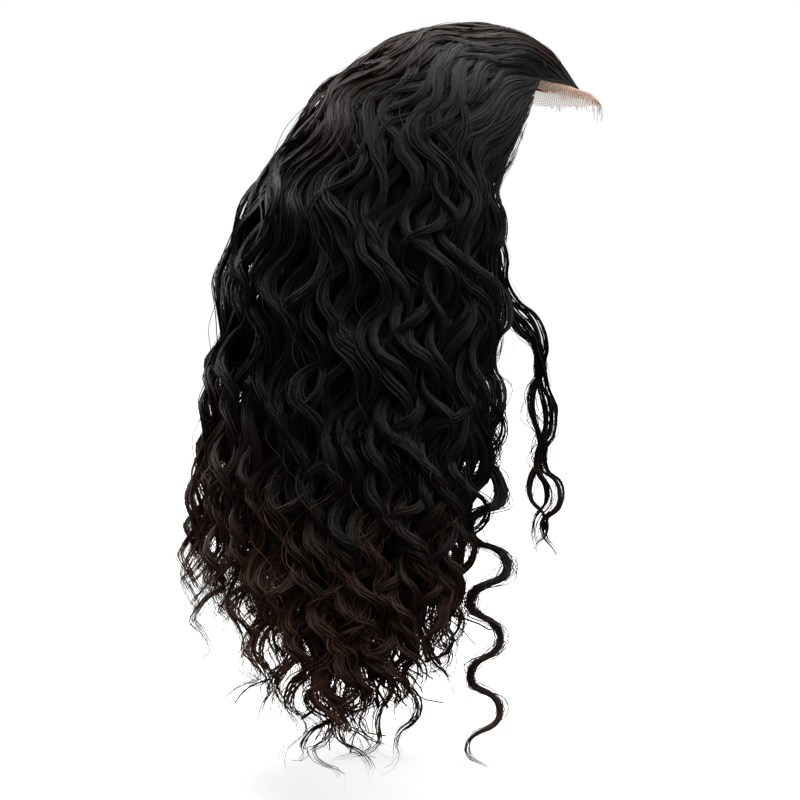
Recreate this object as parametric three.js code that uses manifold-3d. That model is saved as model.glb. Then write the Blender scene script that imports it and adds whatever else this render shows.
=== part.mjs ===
// Lace closure wig: long swept-back curls on a stretch cap, with a sheer lace panel at the front of the crown
// Millimetres, +Z up. The wearer faces -Y, so the wearer's right side is -X.
// The origin is the inside of the crown, where the top of the head bears.

import * as THREE from "three";
import Module from "manifold-3d";

const wasm = await Module();
wasm.setup();

// Head form that the cap is blocked on: an ellipsoid whose top is the origin
const HEAD = { halfWidth: 76, halfLength: 96, halfHeight: 98, centreY: -15 };
const HEAD_RADII = new THREE.Vector3(HEAD.halfWidth, HEAD.halfLength, HEAD.halfHeight);
const HEAD_CENTRE = new THREE.Vector3(0, HEAD.centreY, -HEAD.halfHeight);

// Edge of the cap round the head: azimuth from the middle of the forehead to the nape, and height
const CAP_EDGE = [
  { azimuth: 0, z: -34 },
  { azimuth: 30, z: -32 },
  { azimuth: 50, z: -30 },
  { azimuth: 58, z: -38 },
  { azimuth: 65, z: -53 },
  { azimuth: 73, z: -78 },
  { azimuth: 83, z: -103 },
  { azimuth: 95, z: -115 },
  { azimuth: 105, z: -124 },
  { azimuth: 120, z: -137 },
  { azimuth: 135, z: -147 },
  { azimuth: 150, z: -154 },
  { azimuth: 165, z: -158 },
  { azimuth: 180, z: -160 },
];

const CAP = { wall: 1.2, columns: 36, rows: 8 };

// Lace panel let into the front of the cap, with an untrimmed flange that stands off the forehead
const LACE = {
  wall: 1.0,
  width: 100,
  backY: -2,
  seam: 0.3, // gap to the cap all round
  flange: 17, // how far it runs on past the middle of the hairline
  templeFlange: 14,
  templeAzimuth: 50,
  lift: 36, // angle at which the flange leaves the middle of the forehead
  liftFade: 4, // the higher, the sooner it lies close towards the temples
  columns: 48,
  rows: 7,
  flangeRows: 3,
};
const CLOSURE_BLOCK = { front: -130, bottom: -75, top: 30 };

// Hair is laid out in combed coordinates. comb runs from -1 at the right temple, through 0 at the middle of
// the back, to 1 at the left temple. stage runs from 0 at the hairline to 1 where the hair leaves the head.
const COMB = {
  rootAzimuth: 79, // of the foremost root, just ahead of the ear
  rootGather: 1.7, // the higher, the nearer the middle of the forehead the hair at the back is rooted
  frontAzimuth: 81, // where the foremost hair hangs
  backAzimuth: 180,
  leaveZ: -112, // height at which the hair leaves the head
  frontSweepZ: -102, // height to which the foremost hair sweeps back before it turns down
  backSweepZ: -24, // and the hair from the top of the forehead
  backSweepStart: 0.22, // share of the way to the middle of the back from which all hair sweeps that high
};
const VOLUME = {
  seat: 2.5, // underside of the hair above the head
  root: 4, // depth of hair at the hairline
  crown: 12.5, // depth over the top of the head
  side: 25, // depth where it leaves the side of the head
  back: 67, // depth where it leaves the back of the head
  riseEnd: 0.16, // stage at which the hair reaches its crown depth
  backStart: 0.15, // share of the way to the middle of the back at which the extra depth there begins
  fullness: 3, // the higher, the later it fills out towards the sides and back
};
// How far the hanging hair spreads outwards by the bottom of its fall
const FLARE = { drop: 360, sideOuter: 24, backOuter: 46, sideInner: 18, backInner: 50 };
const WAVE = {
  length: 64,
  sideways: 7,
  outwards: 2.5,
  turns: 1.5, // by which the waves run ahead from the middle of the back to each temple
  startStage: 0.3,
  fullStage: 1.15, // stages over 1 are shares of the fall
  frontPath: 30, // way over the head of the foremost hair
  backPath: 230, // and of the hair at the middle of the back
};
const COMB_STEP = 0.004; // between the two places that give the sideways direction
// How far the hair nearest the face is drawn back as it hangs
const DRAWN_BACK = { distance: 16, fromComb: 0.4, fromDrop: 90, toDrop: 240 };
const ROWS = { overHead: 11, drop: 15 };

// Sections of hair in the order they lie, from the right temple over the back to the left temple.
// from and to are comb positions. partZ is where a section's locks part from each other, and tipsZ is how low
// its ends reach at those two positions. forward is how far a lock is drawn towards the face as it hangs, and
// drawnBack takes the place of the distance that DRAWN_BACK gives.
const SECTIONS = [
  {
    name: "right_front_lock",
    from: -1.0,
    to: -0.93,
    locks: 1,
    partZ: -247,
    tipsZ: [-487, -487],
    drawnBack: 4,
  },
  { name: "right_temple_weft", from: -0.93, to: -0.73, locks: 3, partZ: -352, tipsZ: [-407, -442] },
  { name: "right_side_weft", from: -0.73, to: -0.5, locks: 3, partZ: -382, tipsZ: [-457, -472] },
  { name: "right_closure_hair", from: -0.5, to: -0.2, locks: 3, partZ: -352, tipsZ: [-472, -407] },
  { name: "middle_closure_hair", from: -0.2, to: 0.2, locks: 4, partZ: -307, tipsZ: [-397, -397] },
  { name: "left_closure_hair", from: 0.2, to: 0.5, locks: 3, partZ: -352, tipsZ: [-407, -472] },
  { name: "left_side_weft", from: 0.5, to: 0.73, locks: 3, partZ: -382, tipsZ: [-472, -457] },
  { name: "left_temple_weft", from: 0.73, to: 0.93, locks: 3, partZ: -352, tipsZ: [-442, -407] },
  {
    name: "left_front_lock",
    from: 0.93,
    to: 1.0,
    locks: 1,
    partZ: -247,
    tipsZ: [-367, -367],
    forward: 46,
    drawnBack: 0,
  },
];
const SECTION_GAP = 0.0011; // of the comb, on each side of a section: about 0.3 mm
const FORWARD_DROP = 130; // height over which a lock that is drawn forward gets there

// Section through one lock: across runs from its right-hand valley to its left-hand one, and depth from its
// underside to its ridge
const LOCK_OUTSIDE = [
  { across: -1, depth: 0.76 },
  { across: -0.45, depth: 0.97 },
  { across: 0.35, depth: 1 },
  { across: 1, depth: 0.76 },
];
const LOCK_UNDERSIDE = [
  { across: 1, depth: 0 },
  { across: 0, depth: 0 },
  { across: -1, depth: 0 },
];
const TIP = { width: 0.3, depth: 0.25, centreDepth: 0.6 };

const radians = THREE.MathUtils.degToRad;
const { lerp, smoothstep, clamp } = THREE.MathUtils;

// Value of a column at a key, on straight lines between the rows of a table.
function readTable(table, keyName, key, column) {
  const next = table.findIndex((row) => row[keyName] >= key);
  if (next <= 0) return table[next === 0 ? 0 : table.length - 1][column];
  const [low, high] = [table[next - 1], table[next]];
  return lerp(low[column], high[column], (key - low[keyName]) / (high[keyName] - low[keyName]));
}

// Collects triangles, and gives one closed geometry whose shared corners are merged.
class Skin {
  constructor() {
    this.places = [];
    this.indexOf = new Map();
    this.faces = [];
  }

  corner(point) {
    const key = [point.x, point.y, point.z].map((value) => Math.round(value * 1e3)).join();
    if (!this.indexOf.has(key)) {
      this.indexOf.set(key, this.places.length / 3);
      this.places.push(point.x, point.y, point.z);
    }
    return this.indexOf.get(key);
  }

  triangle(a, b, c) {
    const [i, j, k] = [a, b, c].map((point) => this.corner(point));
    if (i !== j && j !== k && k !== i) this.faces.push(i, j, k);
  }

  quad(a, b, c, d) {
    this.triangle(a, b, c);
    this.triangle(a, c, d);
  }

  // Skins the strip between two rows of points.
  strip(rowA, rowB) {
    for (let i = 0; i + 1 < rowA.length; i++) this.quad(rowA[i], rowA[i + 1], rowB[i + 1], rowB[i]);
  }

  geometry() {
    return new THREE.BufferGeometry()
      .setAttribute("position", new THREE.Float32BufferAttribute(this.places, 3))
      .setIndex(this.faces);
  }
}

function toManifold(geometry) {
  const position = geometry.getAttribute("position");
  const triVerts = new Uint32Array(geometry.index.array);
  return new wasm.Manifold(new wasm.Mesh({ numProp: 3, vertProperties: position.array, triVerts }));
}

function toGeometry(manifold) {
  const mesh = manifold.getMesh();
  return new THREE.BufferGeometry()
    .setAttribute("position", new THREE.BufferAttribute(new Float32Array(mesh.vertProperties), 3))
    .setIndex(new THREE.BufferAttribute(new Uint32Array(mesh.triVerts), 1));
}

// Head form

// Direction from the head's centre, in a space where the head is a unit ball, at an azimuth and a height.
function directionAt(azimuthDeg, z) {
  const level = (z - HEAD_CENTRE.z) / HEAD.halfHeight;
  const ring = Math.sqrt(Math.max(0, 1 - level * level));
  const azimuth = radians(azimuthDeg);
  return new THREE.Vector3(ring * Math.sin(azimuth), -ring * Math.cos(azimuth), level);
}

function headNormal(direction) {
  return direction.clone().divide(HEAD_RADII).normalize();
}

// Point at a height above the head's surface, in a direction from its centre.
function offHead(direction, height) {
  const surface = direction.clone().multiply(HEAD_RADII).add(HEAD_CENTRE);
  return surface.addScaledVector(headNormal(direction), height);
}

function capEdgeZ(azimuthDeg) {
  return readTable(CAP_EDGE, "azimuth", Math.abs(azimuthDeg), "z");
}

// Cap and lace

// Points down the head from the crown to the cap's edge at one azimuth, then out along the flange, if any.
function meridian(azimuthDeg, height, rows, flangeRows) {
  const edge = directionAt(azimuthDeg, capEdgeZ(azimuthDeg));
  const edgeAngle = Math.acos(edge.z);
  const outward = new THREE.Vector3(Math.sin(radians(azimuthDeg)), -Math.cos(radians(azimuthDeg)), 0);
  const points = [];
  for (let row = 0; row <= rows; row++) {
    const angle = (edgeAngle * row) / rows;
    const direction = outward.clone().multiplyScalar(Math.sin(angle)).setZ(Math.cos(angle));
    points.push(offHead(direction, height));
  }
  const normal = headNormal(edge);
  const alongHead = points[rows].clone().sub(points[rows - 1]).normalize();
  const lift = radians(LACE.lift) * Math.cos(radians(azimuthDeg)) ** LACE.liftFade;
  const reach = lerp(LACE.flange, LACE.templeFlange, smoothstep(Math.abs(azimuthDeg), 0, LACE.templeAzimuth));
  const away = alongHead.multiplyScalar(Math.cos(lift)).addScaledVector(normal, Math.sin(lift));
  for (let row = 1; row <= flangeRows; row++) {
    points.push(points[rows].clone().addScaledVector(away, (reach * row) / flangeRows));
  }
  return points;
}

// Closed dome over the head, between two heights above it.
function domeGeometry({ wall, columns, rows }, flangeRows = 0) {
  const skin = new Skin();
  for (let column = 0; column < columns; column++) {
    const azimuths = [column, column + 1].map((i) => -180 + (360 * i) / columns);
    const [outsideA, outsideB] = azimuths.map((azimuth) => meridian(azimuth, wall, rows, flangeRows));
    const [insideA, insideB] = azimuths.map((azimuth) => meridian(azimuth, 0, rows, flangeRows));
    const last = outsideA.length - 1;
    skin.strip(outsideA, outsideB);
    skin.strip(insideB, insideA);
    skin.quad(outsideB[last], outsideA[last], insideA[last], insideB[last]);
  }
  return skin.geometry();
}

// Upright block whose outline from above is the lace panel, open towards the front.
function closureBlock(inset) {
  const { front, bottom, top } = CLOSURE_BLOCK;
  const back = LACE.backY - inset;
  const block = new THREE.BoxGeometry(LACE.width - 2 * inset, back - front, top - bottom);
  block.translate(0, (back + front) / 2, (top + bottom) / 2);
  const skin = new Skin();
  const corners = block.getAttribute("position");
  const corner = (i) => new THREE.Vector3().fromBufferAttribute(corners, block.index.getX(i));
  for (let i = 0; i < block.index.count; i += 3) skin.triangle(corner(i), corner(i + 1), corner(i + 2));
  return toManifold(skin.geometry());
}

function capGeometry() {
  return toGeometry(toManifold(domeGeometry(CAP)).subtract(closureBlock(0)));
}

function laceGeometry() {
  return toGeometry(toManifold(domeGeometry(LACE, LACE.flangeRows)).intersect(closureBlock(LACE.seam)));
}

// Hair

// Share of the way from the foremost hair (0) to the middle of the back (1).
function backness(comb) {
  return 1 - Math.abs(comb);
}

function hangAzimuth(comb) {
  return Math.sign(comb || 1) * lerp(COMB.frontAzimuth, COMB.backAzimuth, backness(comb));
}

// Direction over the head at a stage from 0, the hairline, to 1, where the hair leaves the head.
function sweptDirection(comb, stage) {
  const rootAzimuth = Math.sign(comb) * COMB.rootAzimuth * Math.abs(comb) ** COMB.rootGather;
  const root = directionAt(rootAzimuth, capEdgeZ(rootAzimuth));
  const leave = directionAt(hangAzimuth(comb), COMB.leaveZ);
  const sweepShare = smoothstep(backness(comb), 0, COMB.backSweepStart);
  const sweep = directionAt(hangAzimuth(comb), lerp(COMB.frontSweepZ, COMB.backSweepZ, sweepShare));
  const rest = 1 - stage;
  return root
    .multiplyScalar(rest * rest)
    .addScaledVector(sweep, 2 * rest * stage)
    .addScaledVector(leave, stage * stage)
    .normalize();
}

// Height of the hair's outside above the head.
function hairDepth(comb, stage) {
  const leaving = lerp(VOLUME.side, VOLUME.back, smoothstep(backness(comb), VOLUME.backStart, 1));
  const rise = lerp(VOLUME.root, VOLUME.crown, smoothstep(stage, 0, VOLUME.riseEnd));
  return rise + (leaving - VOLUME.crown) * stage ** VOLUME.fullness;
}

function outwardAt(comb) {
  const azimuth = radians(hangAzimuth(comb));
  return new THREE.Vector3(Math.sin(azimuth), -Math.cos(azimuth), 0);
}

// Straight-combed place in the hair: depth 0 is its underside and 1 its outside, and drop is how far it hangs
// below the place where it leaves the head.
function combedPoint(section, comb, stage, drop, depth) {
  const height = lerp(VOLUME.seat, hairDepth(comb, stage), depth);
  const point = offHead(sweptDirection(comb, stage), height);
  const spread = 1 - (1 - clamp(drop / FLARE.drop, 0, 1)) ** 2;
  const back = backness(comb);
  const flare = lerp(
    lerp(FLARE.sideInner, FLARE.backInner, back),
    lerp(FLARE.sideOuter, FLARE.backOuter, back),
    depth,
  );
  point.addScaledVector(outwardAt(comb), flare * spread);
  const { forward = 0, drawnBack = DRAWN_BACK.distance } = section;
  const nearFace = smoothstep(Math.abs(comb), DRAWN_BACK.fromComb, 1);
  point.y -= forward * smoothstep(drop, 0, FORWARD_DROP);
  point.y += drawnBack * nearFace * smoothstep(drop, DRAWN_BACK.fromDrop, DRAWN_BACK.toDrop);
  point.z -= drop;
  return point;
}

// The same place once the hair is waved: locks swing sideways, and in and out, as they go down.
function wavedPoint(section, comb, row, depth) {
  const { stage, drop } = row;
  const point = combedPoint(section, comb, stage, drop, depth);
  const sideways = combedPoint(section, comb + COMB_STEP, stage, drop, depth)
    .sub(combedPoint(section, comb - COMB_STEP, stage, drop, depth))
    .normalize();
  const swing = smoothstep(stage + drop / FLARE.drop, WAVE.startStage, WAVE.fullStage);
  const alongHair = drop - (1 - stage) * lerp(WAVE.frontPath, WAVE.backPath, backness(comb));
  const phase = 2 * Math.PI * (alongHair / WAVE.length + WAVE.turns * comb);
  return point
    .addScaledVector(sideways, WAVE.sideways * swing * Math.sin(phase))
    .addScaledVector(outwardAt(comb), WAVE.outwards * swing * Math.cos(phase) * depth);
}

// Rows of a lock from its root to its tip. Every lock has its rows at the same heights.
function rowsOf(partZ, tipZ) {
  const rows = [];
  for (let i = 0; i <= ROWS.overHead; i++) rows.push({ stage: i / ROWS.overHead, drop: 0, taper: 0 });
  const hanging = Math.round((COMB.leaveZ - tipZ) / ROWS.drop);
  const parting = Math.round((COMB.leaveZ - partZ) / ROWS.drop);
  for (let i = 1; i <= hanging; i++) {
    rows.push({ stage: 1, drop: i * ROWS.drop, taper: Math.max(0, (i - parting) / (hanging - parting)) });
  }
  return rows;
}

// Outline of one lock at one row: its outside from valley to valley, then back along its underside.
function lockOutline(section, middle, halfWidth, row) {
  const width = halfWidth * lerp(1, TIP.width, row.taper);
  const place = ({ across, depth }) => {
    const tapered = lerp(depth, TIP.centreDepth + (depth - TIP.centreDepth) * TIP.depth, row.taper);
    return wavedPoint(section, middle + across * width, row, tapered);
  };
  return { outside: LOCK_OUTSIDE.map(place), underside: LOCK_UNDERSIDE.map(place) };
}

// One section: locks that share their valleys where they are fused, and hang apart below.
function sectionGeometry(section) {
  const skin = new Skin();
  const from = section.from + SECTION_GAP;
  const halfWidth = (section.to - SECTION_GAP - from) / section.locks / 2;
  for (let lock = 0; lock < section.locks; lock++) {
    const middle = from + (2 * lock + 1) * halfWidth;
    const share = (lock + 0.5) / section.locks;
    const rows = rowsOf(section.partZ, lerp(...section.tipsZ, share));
    const outlines = rows.map((row) => lockOutline(section, middle, halfWidth, row));
    for (let i = 0; i + 1 < rows.length; i++) {
      const [upper, lower] = [outlines[i], outlines[i + 1]];
      const parted = rows[i + 1].taper > 0;
      skin.strip(upper.outside, lower.outside);
      skin.strip(upper.underside, lower.underside);
      if (parted || lock === 0) closeLeft(skin, upper, lower);
      if (parted || lock === section.locks - 1) closeRight(skin, upper, lower);
    }
    closeEnd(skin, outlines[0], false);
    closeEnd(skin, outlines[rows.length - 1], true);
  }
  return skin.geometry();
}

// Walls along the sides of a lock. Both have the same diagonal, so that neighbours lie flush.
function closeLeft(skin, upper, lower) {
  skin.quad(upper.outside.at(0), lower.outside.at(0), lower.underside.at(-1), upper.underside.at(-1));
}

function closeRight(skin, upper, lower) {
  skin.quad(upper.outside.at(-1), upper.underside.at(0), lower.underside.at(0), lower.outside.at(-1));
}

// Wall across the root or the tip of a lock.
function closeEnd(skin, { outside, underside }, atTip) {
  const [right, middle, left] = underside;
  const facing = atTip ? (a, b, c) => skin.triangle(a, b, c) : (a, b, c) => skin.triangle(a, c, b);
  facing(outside[0], outside[1], left);
  facing(left, outside[1], middle);
  facing(middle, outside[1], outside[2]);
  facing(middle, outside[2], right);
  facing(right, outside[2], outside[3]);
}

// Assembly

const BLACK_HAIR = { color: 0x171413, roughness: 0.42, metalness: 0 };
const STRETCH_NET = { color: 0x1c1a19, roughness: 0.85, metalness: 0 };
const SWISS_LACE = { color: 0xc79f80, roughness: 0.8, metalness: 0 };

// Mesh with a name and a material of its own.
function named(name, geometry, finish) {
  geometry.computeVertexNormals();
  const mesh = new THREE.Mesh(geometry, new THREE.MeshStandardMaterial(finish));
  mesh.name = name;
  return mesh;
}

const wig = new THREE.Group();
wig.add(named("cap", capGeometry(), STRETCH_NET));
wig.add(named("lace_closure", laceGeometry(), SWISS_LACE));
for (const section of SECTIONS) wig.add(named(section.name, sectionGeometry(section), BLACK_HAIR));

export default wig;
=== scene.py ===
"""Lace closure wig: hair laid strand by strand over a stretch net cap, with a lace panel at the hairline.

Lengths are in millimetres until a mesh is made. The frame is the part's own: +Z up, and the wearer faces -Y.
"""

import logging
import math
from dataclasses import dataclass, field, replace
from enum import Enum

import bmesh
import bpy
import numpy as np
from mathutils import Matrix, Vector

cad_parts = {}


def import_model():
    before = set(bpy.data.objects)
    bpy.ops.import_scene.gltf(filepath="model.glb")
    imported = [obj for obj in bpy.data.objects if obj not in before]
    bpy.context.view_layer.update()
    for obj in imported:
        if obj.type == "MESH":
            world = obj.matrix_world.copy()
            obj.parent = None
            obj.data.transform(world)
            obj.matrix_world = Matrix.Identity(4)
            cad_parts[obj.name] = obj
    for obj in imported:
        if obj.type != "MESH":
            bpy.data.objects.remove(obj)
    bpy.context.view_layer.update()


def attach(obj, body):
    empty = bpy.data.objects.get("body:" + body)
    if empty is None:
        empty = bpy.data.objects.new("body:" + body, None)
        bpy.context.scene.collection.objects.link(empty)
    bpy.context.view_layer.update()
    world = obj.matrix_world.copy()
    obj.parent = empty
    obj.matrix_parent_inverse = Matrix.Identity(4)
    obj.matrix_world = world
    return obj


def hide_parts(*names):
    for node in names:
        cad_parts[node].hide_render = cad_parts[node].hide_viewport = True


LOG = logging.getLogger("wig")
MM = 0.001
SEED = 7571
FULL_TURN = 2 * math.pi
THREE_WAYS = np.radians(np.array([90.0, 210.0, 330.0]))
WHITE = "#ffffff"

Array = np.ndarray
Random = np.random.Generator
Span = tuple[float, float]
Triple = tuple[float, float, float]

# The mix node's sockets for colours go by number, because other sockets of it have the same names
MIX_SHARE, MIX_FROM, MIX_TO, MIX_RESULT = 0, 6, 7, 2


# Small helpers


def lerp(low: Array | float, high: Array | float, share: Array | float) -> Array | float:
    """Value at a share of the way from low to high."""
    return low + (high - low) * share


def smoothstep(value: Array | float, low: Array | float, high: Array | float) -> Array:
    """Smooth rise from 0 at low to 1 at high."""
    share = np.clip((value - low) / (high - low), 0.0, 1.0)
    return share * share * (3.0 - 2.0 * share)


def unit(vectors: Array) -> Array:
    """Vectors scaled to a length of 1."""
    return vectors / np.maximum(np.linalg.norm(vectors, axis=-1, keepdims=True), 1e-9)


def linear(hex_colour: str) -> tuple[float, float, float, float]:
    """Turn an sRGB hex colour into linear RGBA.

    Args:
        hex_colour: Colour such as "#c79f80".

    Returns:
        Linear red, green, blue and an alpha of 1.
    """
    channels = [int(hex_colour[i : i + 2], 16) / 255.0 for i in (1, 3, 5)]
    red, green, blue = (c / 12.92 if c <= 0.04045 else ((c + 0.055) / 1.055) ** 2.4 for c in channels)
    return (red, green, blue, 1.0)


def add_node(
    tree: bpy.types.NodeTree,
    kind: str,
    settings: dict[str, object] | None = None,
    inputs: dict[str | int, object] | None = None,
) -> bpy.types.Node:
    """Add a node, and give it its settings, values and links.

    Args:
        tree: Node tree that takes the node.
        kind: Blender's type name of the node, without the ShaderNode that it begins with.
        settings: Properties of the node.
        inputs: Values for its sockets, or the sockets that are linked to them.

    Returns:
        The new node.
    """
    node = tree.nodes.new("ShaderNode" + kind)
    for name, value in (settings or {}).items():
        setattr(node, name, value)
    for name, value in (inputs or {}).items():
        if isinstance(value, bpy.types.NodeSocket):
            tree.links.new(value, node.inputs[name])
        else:
            node.inputs[name].default_value = value
    return node


def new_material(name: str) -> tuple[bpy.types.Material, bpy.types.NodeTree]:
    """Make an empty node material.

    Args:
        name: Name of the material.

    Returns:
        The material and its node tree.
    """
    material = bpy.data.materials.new(name)
    material.use_nodes = True
    material.node_tree.nodes.clear()
    return material, material.node_tree


def mesh_object(name: str, corners: Array, quads: Array) -> bpy.types.Object:
    """Make a smooth mesh object from arrays.

    Args:
        name: Name of the object.
        corners: Corner places in millimetres, of shape (n, 3).
        quads: Corner numbers of the faces, of shape (m, 4).

    Returns:
        The object, linked to the scene.
    """
    mesh = bpy.data.meshes.new(name)
    mesh.vertices.add(len(corners))
    mesh.vertices.foreach_set("co", (corners * MM).astype(np.float32).ravel())
    mesh.loops.add(quads.size)
    mesh.loops.foreach_set("vertex_index", quads.astype(np.int32).ravel())
    mesh.polygons.add(len(quads))
    mesh.polygons.foreach_set("loop_start", np.arange(0, quads.size, 4, dtype=np.int32))
    mesh.polygons.foreach_set("use_smooth", np.ones(len(quads), dtype=bool))
    mesh.update(calc_edges=True)
    piece = bpy.data.objects.new(name, mesh)
    bpy.context.scene.collection.objects.link(piece)
    return piece


def run_quads(runs: int, rings: int, edges: int, closed: bool) -> Array:
    """Faces of strips or tubes whose corners are stored run by run and ring by ring.

    Args:
        runs: Number of strips or tubes.
        rings: Rings of corners along each of them.
        edges: Corners in each ring.
        closed: Whether the last corner of a ring joins the first, as in a tube.

    Returns:
        Corner numbers, of shape (faces, 4).
    """
    ring = np.arange(rings - 1)[None, :, None] * edges
    start = np.arange(runs)[:, None, None] * rings * edges + ring
    edge = np.arange(edges if closed else edges - 1)[None, None, :]
    after = (edge + 1) % edges
    corners = [start + edge, start + after, start + edges + after, start + edges + edge]
    return np.stack(corners, axis=-1).reshape(-1, 4)


# Finishes


@dataclass(frozen=True)
class BlackHair:
    """Natural black human hair, waved with heat.

    Its cuticle gives a soft neutral gloss along each strand, over a body that is nearly black. Towards the
    ends a warm brown is mixed in, partly because old thin ends have lost pigment and partly as painted light
    shining through thin hair; the same brown gives a painted warm sheen on the crown. A hair is 0.07 mm wide,
    too fine to show, so the fibres drawn on a strand are as wide as fibre_mm. Over fibre_noise, the middle of
    the noise, a fibre goes from the first to the second of its tones and of its changes of roughness.
    """

    black: str = "#0f0e0e"
    # Warm brown of the ends, partly their own colour and partly painted light shining through thin hair, and
    # of the painted crown sheen
    dark_brown: str = "#63402f"
    roughness: float = 0.43
    ior: float = 1.5
    specular: float = 0.24
    fibre_mm: float = 0.35
    fibre_run_mm: float = 60.0
    fibre_noise: Span = (0.3, 0.7)
    fibre_tones: Span = (0.6, 1.4)
    fibre_roughness: Span = (-0.06, 0.12)
    fibre_relief: float = 0.35
    fibre_height: float = 0.4

    def material(self) -> bpy.types.Material:
        """Build the material.

        Returns:
            Material that reads the strands' brown values, which hold painted light as well as colour, their
            shade values and their lengthwise map.
        """
        material, tree = new_material("black_human_hair")
        along = add_node(tree, "UVMap", {"uv_map": "strand_mm"})
        scale = (1 / self.fibre_mm, 1 / self.fibre_run_mm, 1.0)
        stretched = add_node(tree, "Mapping", inputs={"Vector": along.outputs["UV"], "Scale": scale})
        drawn = {"Vector": stretched.outputs["Vector"], "Scale": 1.0, "Detail": 1.0}
        fibres = add_node(tree, "TexNoise", {"noise_dimensions": "2D"}, drawn)
        low, high = self.fibre_noise
        fibre = {"Value": fibres.outputs["Fac"], "From Min": low, "From Max": high}

        brown = add_node(tree, "Attribute", {"attribute_name": "brown"})
        colours = {MIX_FROM: linear(self.black), MIX_TO: linear(self.dark_brown)}
        base = add_node(tree, "Mix", {"data_type": "RGBA"}, colours | {MIX_SHARE: brown.outputs["Fac"]})
        tones = {"To Min": self.fibre_tones[0], "To Max": self.fibre_tones[1]}
        light = add_node(tree, "MapRange", inputs=fibre | tones)
        shade = add_node(tree, "Attribute", {"attribute_name": "shade"})
        both = {0: light.outputs["Result"], 1: shade.outputs["Fac"]}
        tone = add_node(tree, "Math", {"operation": "MULTIPLY"}, both)
        toned = {0: base.outputs[MIX_RESULT], "Scale": tone.outputs["Value"]}
        colour = add_node(tree, "VectorMath", {"operation": "SCALE"}, toned)

        smooth, rough = (self.roughness + change for change in self.fibre_roughness)
        gloss = add_node(tree, "MapRange", inputs=fibre | {"To Min": smooth, "To Max": rough})
        height = {"Distance": self.fibre_height * MM, "Height": fibres.outputs["Fac"]}
        relief = add_node(tree, "Bump", inputs={"Strength": self.fibre_relief} | height)
        surface = {
            "Base Color": colour.outputs["Vector"],
            "Roughness": gloss.outputs["Result"],
            "Normal": relief.outputs["Normal"],
            "IOR": self.ior,
            "Specular IOR Level": self.specular,
        }
        hair = add_node(tree, "BsdfPrincipled", inputs=surface)
        add_node(tree, "OutputMaterial", inputs={"Surface": hair.outputs["BSDF"]})
        return material


@dataclass(frozen=True)
class StretchNet:
    """Black knitted stretch net of polyamide and elastane.

    Warp knitting leaves rows of small open loops, dull and a little paler on their crowns. The loops are
    0.9 mm apart, too fine to show, so they are drawn as far apart as loop_mm. A thread is full up to the
    first of thread_edges, and ends at the second.
    """

    black: str = "#201c1a"
    # Paler colour of the threads, against the black of the holes between them
    loop_tone: str = "#57504b"
    roughness: float = 0.85
    ior: float = 1.53
    loop_mm: float = 3.2
    loop_unevenness: float = 0.3
    thread_edges: Span = (0.05, 0.25)
    thread_relief: float = 0.7
    thread_height: float = 0.6

    def material(self) -> bpy.types.Material:
        """Build the material.

        Returns:
            Dull black knit with raised loops.
        """
        material, tree = new_material("black_stretch_net")
        flat = add_node(tree, "UVMap", {"uv_map": "cap_mm"})
        loops = add_node(
            tree,
            "TexVoronoi",
            {"feature": "DISTANCE_TO_EDGE", "voronoi_dimensions": "2D"},
            {"Vector": flat.outputs["UV"], "Scale": 1.0 / self.loop_mm, "Randomness": self.loop_unevenness},
        )
        inner, outer = self.thread_edges
        edges = {"From Min": inner, "From Max": outer, "To Min": 1.0, "To Max": 0.0}
        thread = add_node(tree, "MapRange", inputs={"Value": loops.outputs["Distance"]} | edges)
        # Threads paler and holes darker, by the same mask that raises the threads
        colours = {MIX_FROM: linear(self.black), MIX_TO: linear(self.loop_tone)}
        colour = add_node(tree, "Mix", {"data_type": "RGBA"}, colours | {MIX_SHARE: thread.outputs["Result"]})
        height = {"Distance": self.thread_height * MM, "Height": thread.outputs["Result"]}
        relief = add_node(tree, "Bump", inputs={"Strength": self.thread_relief} | height)
        surface = {
            "Base Color": colour.outputs[MIX_RESULT],
            "Normal": relief.outputs["Normal"],
            "Roughness": self.roughness,
            "IOR": self.ior,
        }
        net = add_node(tree, "BsdfPrincipled", inputs=surface)
        add_node(tree, "OutputMaterial", inputs={"Surface": net.outputs["BSDF"]})
        return material


@dataclass(frozen=True)
class SwissLace:
    """Flesh-coloured lace of fine twisted polyester.

    The threads are dull and a little uneven in colour.
    """

    flesh: str = "#d9b094"
    pale: str = "#eed0bb"
    roughness: float = 0.7
    ior: float = 1.57
    fleck_mm: float = 5.0

    def material(self) -> bpy.types.Material:
        """Build the material.

        Returns:
            Dull thread in two close flesh tones.
        """
        material, tree = new_material("swiss_lace_thread")
        place = add_node(tree, "TexCoord")
        scale = 1.0 / (self.fleck_mm * MM)
        drawn = {"Vector": place.outputs["Object"], "Scale": scale, "Detail": 2.0}
        flecks = add_node(tree, "TexNoise", inputs=drawn)
        colours = {MIX_SHARE: flecks.outputs["Fac"], MIX_FROM: linear(self.flesh), MIX_TO: linear(self.pale)}
        colour = add_node(tree, "Mix", {"data_type": "RGBA"}, colours)
        surface = {"Base Color": colour.outputs[MIX_RESULT], "Roughness": self.roughness, "IOR": self.ior}
        lace = add_node(tree, "BsdfPrincipled", inputs=surface)
        add_node(tree, "OutputMaterial", inputs={"Surface": lace.outputs["BSDF"]})
        return material


@dataclass(frozen=True)
class WhitePaint:
    """Matt white emulsion on the studio floor, bright enough to run into the backdrop."""

    white: str = "#fafafa"
    roughness: float = 0.9
    glow: float = 0.3

    def material(self) -> bpy.types.Material:
        """Build the material.

        Returns:
            White matt floor paint.
        """
        material, tree = new_material("matt_white_floor")
        surface = {
            "Base Color": linear(self.white),
            "Roughness": self.roughness,
            "Emission Color": linear(WHITE),
            "Emission Strength": self.glow,
        }
        paint = add_node(tree, "BsdfPrincipled", inputs=surface)
        add_node(tree, "OutputMaterial", inputs={"Surface": paint.outputs["BSDF"]})
        return material


# Forms


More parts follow.
